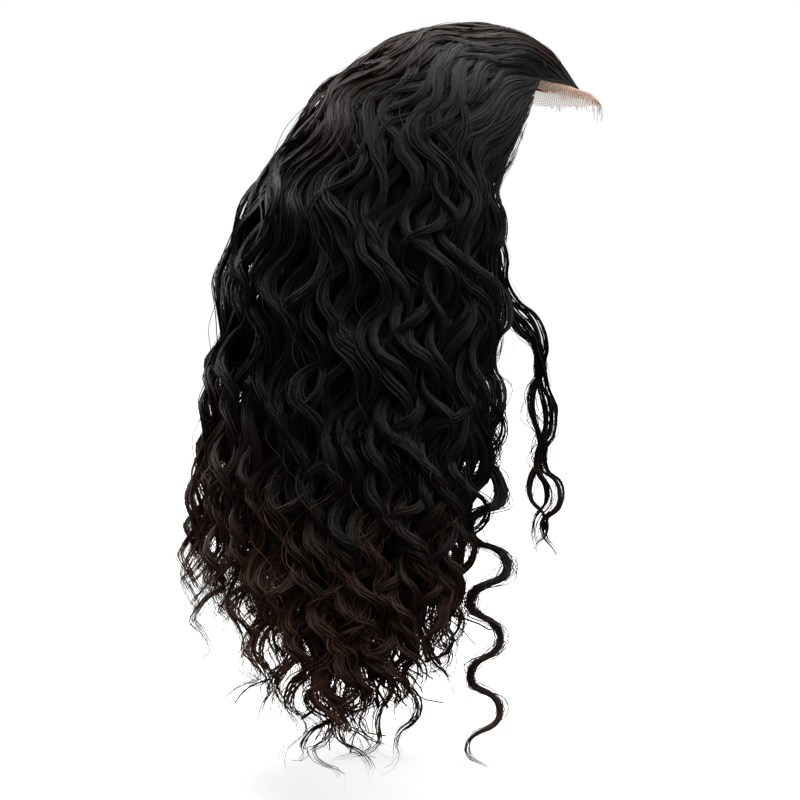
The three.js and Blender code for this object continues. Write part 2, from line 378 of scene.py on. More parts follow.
@dataclass(frozen=True)
class HeadForm:
    """Ellipsoid that the cap is blocked on, with its top at the origin.

    The cap's edge has edge_heights at edge_azimuths. A place that lies deeper in the head than the share
    deepest of its size is moved out as one at that share is.
    """

    half_width: float = 76.0
    half_length: float = 96.0
    half_height: float = 98.0
    centre_y: float = -15.0
    edge_azimuths: tuple[float, ...] = (0, 30, 50, 58, 65, 73, 83, 95, 105, 120, 135, 150, 165, 180)
    edge_heights: tuple[float, ...] = (
        -34, -32, -30, -38, -53, -78, -103, -115, -124, -137, -147, -154, -158, -160,
    )
    deepest: float = 0.3

    @property
    def radii(self) -> Array:
        """Half sizes along X, Y and Z."""
        return np.array([self.half_width, self.half_length, self.half_height])

    @property
    def centre(self) -> Array:
        """Middle of the ellipsoid."""
        return np.array([0.0, self.centre_y, -self.half_height])

    def edge_z(self, azimuth: Array) -> Array:
        """Height of the cap's edge at an azimuth in degrees from the middle of the forehead."""
        return np.interp(np.abs(azimuth), self.edge_azimuths, self.edge_heights)

    def direction(self, azimuth: Array, z: Array | float) -> Array:
        """Direction from the centre, in a space where the head is a unit ball.

        Args:
            azimuth: Degrees from the middle of the forehead, positive to the wearer's left.
            z: Height.

        Returns:
            Unit directions, with a last axis of 3.
        """
        level = np.broadcast_to((z + self.half_height) / self.half_height, np.shape(azimuth))
        ring = np.sqrt(np.maximum(0.0, 1.0 - level * level))
        turn = np.radians(azimuth)
        return np.stack([ring * np.sin(turn), -ring * np.cos(turn), level], axis=-1)

    def edge(self, azimuth: Array) -> Array:
        """Direction of the cap's edge at an azimuth."""
        return self.direction(azimuth, self.edge_z(azimuth))

    def normal(self, direction: Array) -> Array:
        """Outward normal of the head in a direction from its centre."""
        return unit(direction / self.radii)

    def place(self, direction: Array, height: Array | float) -> Array:
        """Place at a height above the head in a direction from its centre."""
        return direction * self.radii + self.centre + self.normal(direction) * np.asarray(height)[..., None]

    def pushed_out(self, places: Array, clearance: float) -> Array:
        """Places moved out of the head, and out of the room below it, where they lie inside.

        Args:
            places: Places, with a last axis of 3.
            clearance: Least height above the head.

        Returns:
            Places outside.
        """
        offset = places - self.centre
        below = offset[..., 2] < 0
        scaled = offset / (self.radii + clearance)
        scaled[..., 2] = np.where(below, 0.0, scaled[..., 2])
        inside = np.clip(np.linalg.norm(scaled, axis=-1, keepdims=True), self.deepest, 1.0)
        moved = self.centre + offset / inside
        moved[..., 2] = np.where(below, places[..., 2], moved[..., 2])
        return moved


@dataclass(frozen=True)
class CombedFall:
    """Straight-combed run of the hair from the hairline over the head and down.

    comb runs from -1 at the right temple, through 0 at the middle of the back, to 1 at the left temple. stage
    runs from 0 at the hairline to 1 where the hair leaves the head, and drop is how far it hangs below that.
    """

    head: HeadForm = field(default_factory=HeadForm)
    root_azimuth: float = 68.0
    root_gather: float = 1.7
    front_azimuth: float = 81.0
    back_azimuth: float = 180.0
    leave_z: float = -112.0
    front_sweep_z: float = -102.0
    back_sweep_z: float = -24.0
    back_sweep_start: float = 0.22
    seat: float = 2.5
    root_depth: float = 4.0
    crown_depth: float = 12.5
    side_depth: float = 25.0
    back_depth: float = 67.0
    back_start: float = 0.15
    rise_end: float = 0.16
    fullness: float = 3.0
    flare_drop: float = 360.0
    side_outer: float = 24.0
    back_outer: float = 46.0
    side_inner: float = 18.0
    back_inner: float = 50.0
    forward_drop: float = 130.0
    drawn_back_drops: Span = (120.0, 250.0)
    drawn_back_from: float = 0.4

    def backness(self, comb: Array) -> Array:
        """Share of the way from the foremost hair to the middle of the back."""
        return 1.0 - np.abs(comb)

    def hang_azimuth(self, comb: Array) -> Array:
        """Azimuth at which the hair hangs."""
        side = np.where(comb < 0, -1.0, 1.0)
        return side * lerp(self.front_azimuth, self.back_azimuth, self.backness(comb))

    def swept(self, comb: Array, stage: Array) -> Array:
        """Direction over the head at a stage.

        Args:
            comb: Comb positions.
            stage: Stages, of the same shape.

        Returns:
            Unit directions, with a last axis of 3.
        """
        root = self.head.edge(self.root_azimuth * np.sign(comb) * np.abs(comb) ** self.root_gather)
        leave = self.head.direction(self.hang_azimuth(comb), self.leave_z)
        sweep_share = smoothstep(self.backness(comb), 0.0, self.back_sweep_start)
        sweep_z = lerp(self.front_sweep_z, self.back_sweep_z, sweep_share)
        sweep = self.head.direction(self.hang_azimuth(comb), sweep_z)
        share = stage[..., None]
        rest = 1.0 - share
        return unit(root * rest**2 + sweep * (2 * rest * share) + leave * share**2)

    def depth_of_hair(self, comb: Array, stage: Array) -> Array:
        """Height of the hair's outside above the head.

        Args:
            comb: Comb positions.
            stage: Stages, of the same shape.

        Returns:
            Heights.
        """
        back = smoothstep(self.backness(comb), self.back_start, 1.0)
        leaving = lerp(self.side_depth, self.back_depth, back)
        rise = lerp(self.root_depth, self.crown_depth, smoothstep(stage, 0.0, self.rise_end))
        return rise + (leaving - self.crown_depth) * stage**self.fullness

    def place(self, comb: Array, stage: Array, drop: Array, depth: Array, pull: Span) -> Array:
        """Place in the combed hair.

        Args:
            comb: Comb positions.
            stage: Stages.
            drop: Drops below the place where the hair leaves the head.
            depth: From 0 at the hair's underside to 1 at its outside.
            pull: How far the hair is drawn towards the face as it hangs, and how far back near the face.

        Returns:
            Places, with a last axis of 3.
        """
        height = lerp(self.seat, self.depth_of_hair(comb, stage), depth)
        places = self.head.place(self.swept(comb, stage), height)
        spread = 1.0 - (1.0 - np.clip(drop / self.flare_drop, 0.0, 1.0)) ** 2
        back = self.backness(comb)
        inner = lerp(self.side_inner, self.back_inner, back)
        outer = lerp(self.side_outer, self.back_outer, back)
        flare = lerp(inner, outer, depth) * spread
        turn = np.radians(self.hang_azimuth(comb))
        places[..., 0] += np.sin(turn) * flare
        forward, drawn_back = pull
        places[..., 1] -= np.cos(turn) * flare + forward * smoothstep(drop, 0.0, self.forward_drop)
        near_face = smoothstep(np.abs(comb), self.drawn_back_from, 1.0)
        places[..., 1] += drawn_back * near_face * smoothstep(drop, *self.drawn_back_drops)
        places[..., 2] -= drop
        return places


# Hair


class Layer(Enum):
    """Layers of hair, from the inside out."""

    NAPE = "nape"
    FILL = "fill"
    LOCK_BODIES = "lock_bodies"
    LOCKS = "locks"
    SINGLE_HAIRS = "single_hairs"
    END_HAIRS = "end_hairs"
    STRAY_CURLS = "stray_curls"
    FLYAWAYS = "flyaways"
    BABY_HAIRS = "baby_hairs"


@dataclass(frozen=True)
class LayerPlan:
    """How one layer is laid. Pairs are the lowest and highest value, and strands take values between them.

    A strand with a thickness has a ridge of that height and two edges, and one without it is a flat hair. It
    narrows towards its tip from the share taper of its length. It ends above the section's tips by shorter,
    or its whole length is length. Where tail is given, only that much of it above the tip is laid, and where
    longer is given, the locks at the sides hang lower by that. spread is how far strands lie apart in a lock,
    wander how far they stray from it, and frizz how far they crimp. hook and swing are the shares that they
    take of a lock's bend and waves. lift is how far locks stand off where they leave the back of the head.
    under is for strands that lie under the locks. Layers with the same lock_seed and number of locks lie in
    the same locks.
    """

    strands: int
    samples: int
    depth: Span
    half_width: Span
    spread: float
    wander: float
    brown: float
    lock_seed: int
    locks_per_comb: float = 40
    root_stage: Span = (0.0, 0.3)
    thickness: float = 0.0
    taper: float = 0.82
    shorter: Span = (0.0, 0.0)
    length: Span | None = None
    tail: Span | None = None
    longer: Span | None = None
    frizz: float = 0.0
    hook: float = 1.0
    swing: float = 1.0
    lift: float = 0.0
    under: bool = False

    @property
    def edges(self) -> int:
        """Corners in each ring of a strand."""
        return 3 if self.thickness else 2


# A layer's brown is how far its ends turn brown; thin hairs get more, partly as painted light shining through
# them
PLANS: dict[Layer, LayerPlan] = {
    Layer.NAPE: LayerPlan(
        strands=9, samples=48, depth=(0.0, 0.35), half_width=(1.5, 2.8), spread=2.0, wander=1.2, brown=0.5,
        lock_seed=1, locks_per_comb=24, root_stage=(0.7, 0.98), thickness=0.6, taper=0.6, shorter=(0, 70),
        under=True,
    ),
    Layer.FILL: LayerPlan(
        strands=3, samples=56, depth=(0.15, 0.55), half_width=(4.5, 6.0), spread=3.2, wander=1.6, brown=0.5,
        lock_seed=2, locks_per_comb=50, thickness=1.6, taper=0.55, shorter=(20, 80), swing=0.45, under=True,
    ),
    Layer.LOCK_BODIES: LayerPlan(
        strands=3, samples=80, depth=(0.66, 0.96), half_width=(2.0, 3.0), spread=0.7, wander=0.5, brown=0.6,
        lock_seed=3, root_stage=(0.0, 0.1), thickness=1.0, taper=0.65, shorter=(8, 60), lift=10.0,
    ),
    Layer.LOCKS: LayerPlan(
        strands=12, samples=90, depth=(0.7, 1.0), half_width=(0.5, 0.9), spread=1.5, wander=0.8, brown=0.7,
        lock_seed=3, root_stage=(0.0, 0.35), thickness=0.5, shorter=(0, 40), lift=10.0,
    ),
    Layer.SINGLE_HAIRS: LayerPlan(
        strands=10, samples=100, depth=(0.7, 1.0), half_width=(0.22, 0.4), spread=2.1, wander=1.5, brown=0.9,
        lock_seed=3, shorter=(-6, 70), frizz=1.0, lift=10.0,
    ),
    Layer.END_HAIRS: LayerPlan(
        strands=16, samples=46, depth=(0.2, 1.0), half_width=(0.18, 0.34), spread=2.4, wander=3.6, brown=1.2,
        lock_seed=6, shorter=(-4, 80), tail=(110, 200), frizz=2.0, hook=0.6,
    ),
    Layer.STRAY_CURLS: LayerPlan(
        strands=16, samples=64, depth=(0.55, 0.98), half_width=(0.3, 0.55), spread=0.28, wander=0.7,
        brown=0.8, lock_seed=8, locks_per_comb=10, shorter=(0, 40), tail=(190, 250), longer=(15, 60),
    ),
    Layer.FLYAWAYS: LayerPlan(
        strands=1, samples=84, depth=(0.85, 1.0), half_width=(0.16, 0.26), spread=2.5, wander=3.2, brown=1.2,
        lock_seed=4, root_stage=(0.0, 0.6), shorter=(-10, 90),
    ),
    Layer.BABY_HAIRS: LayerPlan(
        strands=4, samples=8, depth=(0.2, 0.9), half_width=(0.16, 0.3), spread=1.6, wander=2.4, brown=1.0,
        lock_seed=5, locks_per_comb=60, root_stage=(0.0, 0.03), length=(12, 38),
    ),
}


@dataclass(frozen=True)
class WaveStyle:
    """Shape of the waves: broad and flat over the head, tighter and rounder towards the ends.

    top and end values are those of the upper and lower fall, and front and back values those near the face
    and at the middle of the back. A pair is where a change begins and where it is full, apart from
    frizz_length, the lowest and highest length of a crimp, and counted_drops, where waves are counted.
    """

    top_length: float = 70.0
    end_length: float = 48.0
    top_sideways: float = 9.0
    end_sideways: float = 7.0
    head_outwards: float = 0.3
    top_outwards: float = 4.0
    end_outwards: float = 7.0
    off_head: Span = (-40.0, 40.0)
    turns: float = 1.5
    front_start: float = 14.0
    back_start: float = 30.0
    front_full: float = 75.0
    back_full: float = 120.0
    end_drops: Span = (100.0, 300.0)
    front_path: float = 30.0
    back_path: float = 230.0
    phase_jitter: float = 0.6
    meander: float = 4.5
    meander_length: float = 190.0
    rounding: float = 1.6
    beat: float = 0.2
    beat_length: float = 140.0
    tip_swing: float = 0.85
    curl_length: float = 110.0
    curl_turns: float = 0.6
    curl_power: float = 1.5
    hook: float = 1.5
    hook_length: float = 60.0
    hook_power: float = 1.2
    root_stray: float = 0.3
    root_stray_along: Span = (0.0, 20.0)
    end_stray_along: Span = (120.0, 330.0)
    frizz_length: Span = (20.0, 34.0)
    frizz_drops: Span = (40.0, 200.0)
    lift_rise: Span = (-40.0, 5.0)
    lift_fade: Span = (25.0, 110.0)
    lift_back: Span = (0.3, 0.7)
    counted_drops: Span = (-400.0, 600.0)

    def turns_down(self, hang: Array | float) -> Array:
        """Number of waves from the place where the hair leaves the head down to a drop.

        Args:
            hang: Drops, negative over the head.

        Returns:
            Numbers of waves.
        """
        low, high = self.counted_drops
        every_mm = np.linspace(low, high, round(high - low) + 1)
        end = smoothstep(every_mm, *self.end_drops)
        counted = np.cumsum(1.0 / lerp(self.top_length, self.end_length, end))
        counted -= np.interp(0.0, every_mm, counted)
        return np.interp(hang, every_mm, counted)


@dataclass(frozen=True)
class Grip:
    """How a lock holds its strands: it gathers them, and then lets go of them or holds them tighter.

    gathered is the share of their spread that is left, and a pair is where a change begins and is full.
    """

    gathered: float
    gather_along: Span
    let_go: float
    let_go_drops: Span

    def share(self, along: Array, drop: Array) -> Array:
        """Share of the strands' spread along them.

        Args:
            along: Ways along the strands that the gathering goes by.
            drop: Drops.

        Returns:
            Shares, of the same shape.
        """
        gathered = lerp(1.0, self.gathered, smoothstep(along, *self.gather_along))
        return gathered + self.let_go * smoothstep(drop, *self.let_go_drops)


@dataclass(frozen=True)
class LockHabits:
    """How locks lie, and how far they and their strands differ from one another.

    A pair is a lowest and highest value, apart from lower_comb and face_comb, which are where a change begins
    and is full. Names that begin with single are for a section that hangs as one lock.
    """

    fewest: int = 2
    uneven_place: float = 0.7
    uneven_tips: float = 8.0
    uneven_strands: float = 0.12
    uneven_waves: float = 0.12
    uneven_wave_strands: float = 0.005
    uneven_depth: float = 0.03
    front_unevenness: float = 1.4
    lower_comb: Span = (0.3, 0.7)
    lowest_tip_z: float = -496.0
    face_comb: Span = (0.78, 0.9)
    broadest: float = 6.0
    face_broadest: float = 2.0
    face_swing: float = 0.6
    edge: Span = (0.965, 1.045)
    broad: float = 1.5
    broad_inset: float = 0.09
    swing: Span = (0.75, 1.25)
    turned: tuple[float, ...] = (1.0, -1.0, -1.0, -1.0)
    hook: Span = (0.8, 1.2)
    shade: Span = (0.6, 1.5)
    brown: Span = (0.3, 1.3)
    lift_power: float = 1.5
    root_rise: float = 28.0
    root_tuck: float = 0.25
    clearance: float = 1.5
    grip: Grip = Grip(gathered=0.38, gather_along=(30.0, 190.0), let_go=0.6, let_go_drops=(180.0, 360.0))
    single_grip: Grip = Grip(
        gathered=0.56, gather_along=(60.0, 170.0), let_go=-0.4, let_go_drops=(180.0, 280.0)
    )
    single_slimmest: float = 1.0
    single_samples: float = 1.4
    single_strands: int = 2
    single_flyaways: int = 6
    single_flyaway_wander: float = 10.0
    single_unevenness: float = 0.04
    single_depth: float = 0.6
    single_depth_step: float = 0.12
    single_phase_step: float = 0.8


@dataclass(frozen=True)
class StrandForm:
    """Form of a single strand: narrow at its root and its tip, with edges that lie lower than its ridge.

    Widths are shares of the full width. Rings lie closer towards the tip by crowding. On the flat map, a
    strand is girth half widths across, and strands lie map_step apart so that no two show the same fibres.
    """

    root_width: float = 0.25
    root_end: float = 0.12
    tip_width: float = 0.2
    edge_sink: float = 0.35
    crowding: float = 0.35
    girth: float = 4.0
    map_step: float = 17.3
    drift: float = 0.6
    drift_length: float = 28.0
    drift_rings: float = 6.0
    drift_lengths: tuple[Span, ...] = ((1.0, 1.8), (2.1, 4.0))
    head_samples: int = 25
    easing_rounds: int = 6
    comb_step: float = 0.01


@dataclass
class Strands:
    """One value for each strand of a layer."""

    lock_comb: Array
    offset: Array
    edge: Array
    root_stage: Array
    depth: Array
    tip_drop: Array
    lock_drop: Array
    wave_length: Array
    swing: Array
    phase: Array
    turned: Array
    meander: Array
    beat: Array
    curl: Array
    hook: Array
    roll: Array
    half_width: Array
    shade: Array
    brown: Array
    lift: Array


@dataclass
class Course:
    """Where the rings of a layer's strands lie along them, of shape (strands, samples).

    along is the length from the root, from_hairline that from the hairline, and hang the drop, negative over
    the head.
    """

    along: Array
    from_hairline: Array
    stage: Array
    hang: Array

    @property
    def drop(self) -> Array:
        """Drops, zero over the head."""
        return np.maximum(self.hang, 0.0)


@dataclass(frozen=True)
class BrownEndsAndPaintedSheen:
    """Where hair turns brown: towards its ends, most of all at the back, partly as their own colour and
    partly as painted light shining through thin hair; and a painted warm sheen on the crown.
    """

    back: float = 1.25
    side: float = 0.6
    side_comb: Span = (0.4, 0.8)
    end_share: Span = (0.7, 1.0)
    # Painted warm sheen on the crown: brown added near the roots at the upper back, standing in for light
    # caught there
    crown: float = 0.18
    painted_sheen_comb: Span = (0.1, 0.6)
    painted_sheen_along: Span = (120.0, 320.0)

    def brown(self, strands: Strands, along: Array) -> Array:
        """How brown the strands are along their length, with the painted crown sheen added.

        Args:
            strands: The strands' values.
            along: Lengths from the root.

        Returns:
            Values from 0 to 1, of shape (strands, samples).
        """
        comb = np.abs(strands.lock_comb)
        # Brown towards the ends, partly their own colour and partly painted light shining through thin hair
        browning = strands.brown * lerp(self.back, self.side, smoothstep(comb, *self.side_comb))
        browned_ends = browning[:, None] * smoothstep(along / along[:, -1:], *self.end_share)
        # Painted warm sheen on the upper back near the roots, stronger on lighter strands
        crown = 1.0 - smoothstep(comb[:, None], *self.painted_sheen_comb)
        crown = crown * (1.0 - smoothstep(along, *self.painted_sheen_along))
        return np.clip(browned_ends + self.crown * strands.shade[:, None] * crown, 0.0, 1.0)


@dataclass
class HairSection:
    """One section of the hair, tied or sewn along its own stretch of the hairline.

    A section with a forward_drop hangs as one lock, and that is a drop at which its wave comes furthest
    forward.
    """

    name: str
    comb: Span
    tips_z: Span
    pull: Span = (0.0, 20.0)
    forward_drop: float | None = None
    sub_locks: int = 1
    lock_spread: float = 0.9
    fall: CombedFall = field(default_factory=CombedFall)
    waves: WaveStyle = field(default_factory=WaveStyle)
    habits: LockHabits = field(default_factory=LockHabits)
    form: StrandForm = field(default_factory=StrandForm)
    browning: BrownEndsAndPaintedSheen = field(default_factory=BrownEndsAndPaintedSheen)

    @property
    def one_lock(self) -> bool:
        """Whether the section hangs as one lock."""
        return self.forward_drop is not None

    def build(self, finish: bpy.types.Material, number: int) -> bpy.types.Object:
        """Lay every layer of the section as one mesh.

        Args:
            finish: Hair material.
            number: Place of the section in the row, which seeds its random values.

        Returns:
            The mesh object that stands for the section's solid.
        """
        rng = np.random.default_rng(SEED + number)
        corners, quads, maps, browns, shades = [], [], [], [], []
        count = 0
        for layer, plan in self.plans().items():
            strands = self.strands(plan, np.random.default_rng([SEED, number, plan.lock_seed]), rng)
            places, outward, along = self.paths(strands, plan, rng)
            rings = self.rings(strands, plan, places, outward)
            total, samples = along.shape
            corners.append(rings.reshape(-1, 3))
            quads.append(run_quads(total, samples, plan.edges, closed=False) + count)
            count += rings.size // 3
            maps.append(self.lengthwise_map(strands, plan, along))
            browns.append(np.repeat(self.browning.brown(strands, along), plan.edges, axis=1).ravel())
            shades.append(np.repeat(strands.shade, samples * plan.edges))
            LOG.info("%s %s: %d strands", self.name, layer.value, total)
        piece = mesh_object(self.name + "_strands", np.concatenate(corners), np.concatenate(quads))
        self.write_values(piece.data, np.concatenate(maps), np.concatenate(browns), np.concatenate(shades))
        piece.data.materials.append(finish)
        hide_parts(self.name)
        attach(piece, "root")
        return piece

    def plans(self) -> dict[Layer, LayerPlan]:
        """Plans of the section's layers.

        Returns:
            All the layers, or for a single lock the slim ones, laid smoothly in the same lock.
        """
        if not self.one_lock:
            return PLANS
        habits = self.habits
        slim = {}
        for layer, plan in PLANS.items():
            if plan.half_width[1] < habits.single_slimmest and not plan.longer:
                slim[layer] = replace(plan, samples=round(plan.samples * habits.single_samples), lock_seed=0)
        loose = {"strands": habits.single_flyaways, "wander": habits.single_flyaway_wander}
        slim[Layer.FLYAWAYS] = replace(slim[Layer.FLYAWAYS], **loose)
        return slim

    def strands(self, plan: LayerPlan, lock_rng: Random, rng: Random) -> Strands:
        """Choose the values of a layer's strands, lock by lock.

        Args:
            plan: The layer's plan.
            lock_rng: Random values of the locks.
            rng: Random values of the single strands.

        Returns:
            The strands' values.
        """
        habits, waves = self.habits, self.waves
        low, high = self.comb
        locks = max(habits.fewest, round(plan.locks_per_comb * (high - low)))
        per_lock = plan.strands
        if self.one_lock:
            locks = self.sub_locks
            per_lock = plan.strands * habits.single_strands // locks
        total = locks * per_lock
        half = (high - low) / locks / 2

        def each_lock(values: Array) -> Array:
            """Repeat one value a lock for each of its strands."""
            return np.repeat(values, per_lock)

        def lock_values(lowest: float, highest: float) -> Array:
            """Random value of each lock, the same for all its strands."""
            return each_lock(lock_rng.uniform(lowest, highest, locks))

        middles = low + (2 * np.arange(locks) + 1) * half
        if not self.one_lock:
            middles = middles + lock_rng.uniform(-habits.uneven_place, habits.uneven_place, locks) * half
        lock_comb = each_lock(middles)
        share = np.clip((lock_comb - low) / (high - low), 0.0, 1.0)
        tips = lerp(*self.tips_z, share) + each_lock(lock_rng.normal(0.0, habits.uneven_tips, locks))
        lock_drop = self.fall.leave_z - tips
        if plan.longer:
            lower = lock_values(*plan.longer) * smoothstep(np.abs(lock_comb), *habits.lower_comb)
            lock_drop = np.minimum(lock_drop + lower, self.fall.leave_z - habits.lowest_tip_z)
        lock_depth = lerp(*plan.depth, lock_values(0.0, 1.0))
        uneven = habits.uneven_strands
        if self.one_lock:
            apart = each_lock(np.arange(locks) - (locks - 1) / 2)
            lock_depth = habits.single_depth + habits.single_depth_step * apart
            quarter_back = math.pi / 2 if low < 0 else -math.pi / 2
            forward = FULL_TURN * waves.turns_down(self.forward_drop)
            phase = habits.single_phase_step * apart - quarter_back - forward
            uneven = habits.single_unevenness
        else:
            jitter = each_lock(lock_rng.normal(0.0, waves.phase_jitter, locks))
            phase = FULL_TURN * waves.turns * lock_comb + jitter
        uneven_waves = habits.single_unevenness if locks == 1 else habits.uneven_waves
        near_face = smoothstep(np.abs(lock_comb), *habits.face_comb)
        calmed = lerp(1.0, habits.face_swing, near_face) if plan.under else 1.0
        apart_in_lock = half * (self.lock_spread if self.one_lock else plan.spread)
        inset = habits.broad_inset if plan.half_width[1] > habits.broad else 0.0
        unlike = habits.front_unevenness - self.fall.backness(lock_comb)
        # Squared and cubed values below keep most strands near the lowest one
        return Strands(
            lock_comb=lock_comb,
            lock_drop=lock_drop,
            offset=rng.uniform(-1.0, 1.0, total) * apart_in_lock,
            edge=rng.uniform(*habits.edge, total) - inset,
            root_stage=lerp(*plan.root_stage, rng.uniform(0.0, 1.0, total) ** 2),
            depth=lock_depth + rng.normal(0.0, habits.uneven_depth, total) * unlike,
            tip_drop=lock_drop - rng.uniform(*plan.shorter, total),
            wave_length=1.0
            + lock_values(-uneven_waves, uneven_waves)
            + rng.uniform(-habits.uneven_wave_strands, habits.uneven_wave_strands, total),
            swing=plan.swing
            * calmed
            * lock_values(*habits.swing)
            * rng.uniform(1 - uneven, 1 + uneven, total),
            phase=phase + rng.normal(0.0, uneven, total),
            turned=each_lock(lock_rng.choice(habits.turned, locks)),
            meander=lock_values(0.0, FULL_TURN),
            beat=lock_values(0.0, FULL_TURN),
            curl=lock_values(0.0, 1.0) ** 3,
            hook=lock_values(-1.0, 1.0) * waves.hook * plan.hook * rng.uniform(*habits.hook, total),
            roll=rng.uniform(0.0, math.pi, total),
            half_width=np.minimum(
                rng.uniform(*plan.half_width, total),
                lerp(habits.broadest, habits.face_broadest, near_face),
            ),
            shade=rng.uniform(*habits.shade, total),
            brown=plan.brown * rng.uniform(*habits.brown, total),
            lift=plan.lift * lock_values(0.0, 1.0) ** habits.lift_power,
        )

    def paths(self, strands: Strands, plan: LayerPlan, rng: Random) -> tuple[Array, Array, Array]:
        """Run of each strand, from its root to its tip.

        Args:
            strands: The strands' values.
            plan: The layer's plan.
            rng: Random values of the section.

        Returns:
            Places and outward directions, of shape (strands, samples, 3), and lengths from the root.
        """
        course = self.course(strands, plan, rng)
        places = self.combed(strands, course, 0.0)
        sideways = unit(self.combed(strands, course, self.form.comb_step) - places)
        onward = unit(np.gradient(places, axis=1))
        outward = unit(np.cross(sideways, onward))
        sideways = np.cross(onward, outward)
        side_swing, out_swing, on_swing = self.swings(strands, plan, course, rng)
        places = places + sideways * side_swing[..., None] + outward * out_swing[..., None]
        places = places + onward * on_swing[..., None]
        return self.fall.head.pushed_out(places, self.habits.clearance), outward, course.along

    def course(self, strands: Strands, plan: LayerPlan, rng: Random) -> Course:
        """Share each strand's length out between the head and the fall.

        Args:
            strands: The strands' values.
            plan: The layer's plan.
            rng: Random values of the section.

        Returns:
            Where the strands' rings lie.
        """
        root_stage = strands.root_stage[:, None]
        over_stage = root_stage + (1 - root_stage) * np.linspace(0.0, 1.0, self.form.head_samples)
        comb = np.broadcast_to(strands.lock_comb[:, None], over_stage.shape)
        depth = np.broadcast_to(strands.depth[:, None], over_stage.shape)
        over = self.fall.place(comb, over_stage, np.zeros_like(over_stage), depth, self.pull)
        steps = np.linalg.norm(np.diff(over, axis=1), axis=2)
        way = np.concatenate([np.zeros((len(steps), 1)), np.cumsum(steps, axis=1)], axis=1)
        length = way[:, -1] + strands.tip_drop
        if plan.length:
            length = rng.uniform(*plan.length, len(way))
        step = np.linspace(0.0, 1.0, plan.samples)
        crowding = 0.0 if plan.under else self.form.crowding
        along = length[:, None] * step * (1.0 + crowding * (1.0 - step))
        if plan.tail:
            along = length[:, None] - rng.uniform(*plan.tail, (len(way), 1)) * (1.0 - step)
        stage = np.stack([np.interp(a, w, s) for a, w, s in zip(along, way, over_stage)])
        back = self.fall.backness(strands.lock_comb[:, None])
        from_hairline = along + root_stage * lerp(self.waves.front_path, self.waves.back_path, back)
        return Course(along, from_hairline, stage, along - way[:, -1:])

    def combed(self, strands: Strands, course: Course, comb_step: float) -> Array:
        """Runs of the strands as if the hair were combed straight.

        Args:
            strands: The strands' values.
            course: Where their rings lie.
            comb_step: How far round the head from their own run, in comb.

        Returns:
            Places, of shape (strands, samples, 3).
        """
        habits = self.habits
        grip = habits.grip.share(course.from_hairline, course.drop)
        if self.one_lock:
            grip = habits.single_grip.share(course.drop, course.drop)
        edge = strands.edge[:, None]
        comb = np.clip(strands.lock_comb[:, None] + strands.offset[:, None] * grip, -edge, edge)
        risen = smoothstep(course.along, 0.0, habits.root_rise)
        depth = strands.depth[:, None] * risen - habits.root_tuck * (1 - risen)
        places = self.fall.place(comb + comb_step, course.stage, course.drop, depth, self.pull)
        return self.eased(places)

    def swings(
        self, strands: Strands, plan: LayerPlan, course: Course, rng: Random
    ) -> tuple[Array, Array, Array]:
        """Waves, curls and frizz that the strands have beside their combed run.

        Args:
            strands: The strands' values.
            plan: The layer's plan.
            course: Where their rings lie.
            rng: Random values of the section.

        Returns:
            Ways sideways, outwards and onwards, of shape (strands, samples).
        """
        waves, hang, drop = self.waves, course.hang, course.drop
        back = self.fall.backness(strands.lock_comb[:, None])
        start = lerp(waves.front_start, waves.back_start, back)
        full = lerp(waves.front_full, waves.back_full, back)
        beat = 1.0 + waves.beat * np.sin(strands.beat[:, None] + FULL_TURN * hang / waves.beat_length)
        to_tip = strands.lock_drop[:, None] - hang
        swing = smoothstep(course.from_hairline, start, full) * strands.swing[:, None] * beat
        swing = swing * lerp(waves.tip_swing, 1.0, smoothstep(to_tip, 0.0, waves.curl_length))

        curl = strands.curl[:, None] * np.clip(1.0 - to_tip / waves.curl_length, 0.0, 1.0) ** waves.curl_power
        turns = waves.turns_down(hang)
        turns = turns + np.maximum(turns, 0.0) * (1.0 / strands.wave_length[:, None] - 1.0)
        phase = strands.phase[:, None] + FULL_TURN * (turns + waves.curl_turns * curl)
        slow = np.sin(strands.meander[:, None] + FULL_TURN * hang / waves.meander_length)
        end = smoothstep(drop, *waves.end_drops)
        sideways = lerp(waves.top_sideways, waves.end_sideways, end)
        side_swing = swing * (sideways * np.sin(phase) + waves.meander * slow)
        off_head = lerp(waves.head_outwards, 1.0, smoothstep(hang, *waves.off_head))
        out_swing = swing * off_head * lerp(waves.top_outwards, waves.end_outwards, end) * np.cos(phase)

        bend = strands.hook[:, None] * np.clip(1.0 - to_tip / waves.hook_length, 0.0, 1.0) ** waves.hook_power
        step = np.gradient(course.along, axis=1)
        stray = waves.root_stray * smoothstep(course.along, *waves.root_stray_along)
        stray = stray + (1 - waves.root_stray) * smoothstep(course.from_hairline, *waves.end_stray_along)
        loose = plan.wander * stray
        side_swing += loose * self.drift(course.along, rng) + np.cumsum(np.sin(bend) * step, axis=1)
        out_swing = out_swing * strands.turned[:, None] + loose * self.drift(course.along, rng)
        leaving = smoothstep(hang, *waves.lift_rise) * (1.0 - smoothstep(hang, *waves.lift_fade))
        out_swing += strands.lift[:, None] * smoothstep(back, *waves.lift_back) * leaving
        if plan.frizz:
            each = (len(hang), 1)
            crimps = course.along / rng.uniform(*waves.frizz_length, each) + rng.uniform(0.0, 1.0, each)
            frizz = plan.frizz * smoothstep(drop, *waves.frizz_drops)
            side_swing += frizz * np.sin(FULL_TURN * crimps)
            out_swing += frizz * np.cos(FULL_TURN * crimps)
        on_swing = np.cumsum((np.cos(bend) - 1.0) * step, axis=1) - waves.rounding * swing * np.sin(2 * phase)
        return side_swing, out_swing, on_swing

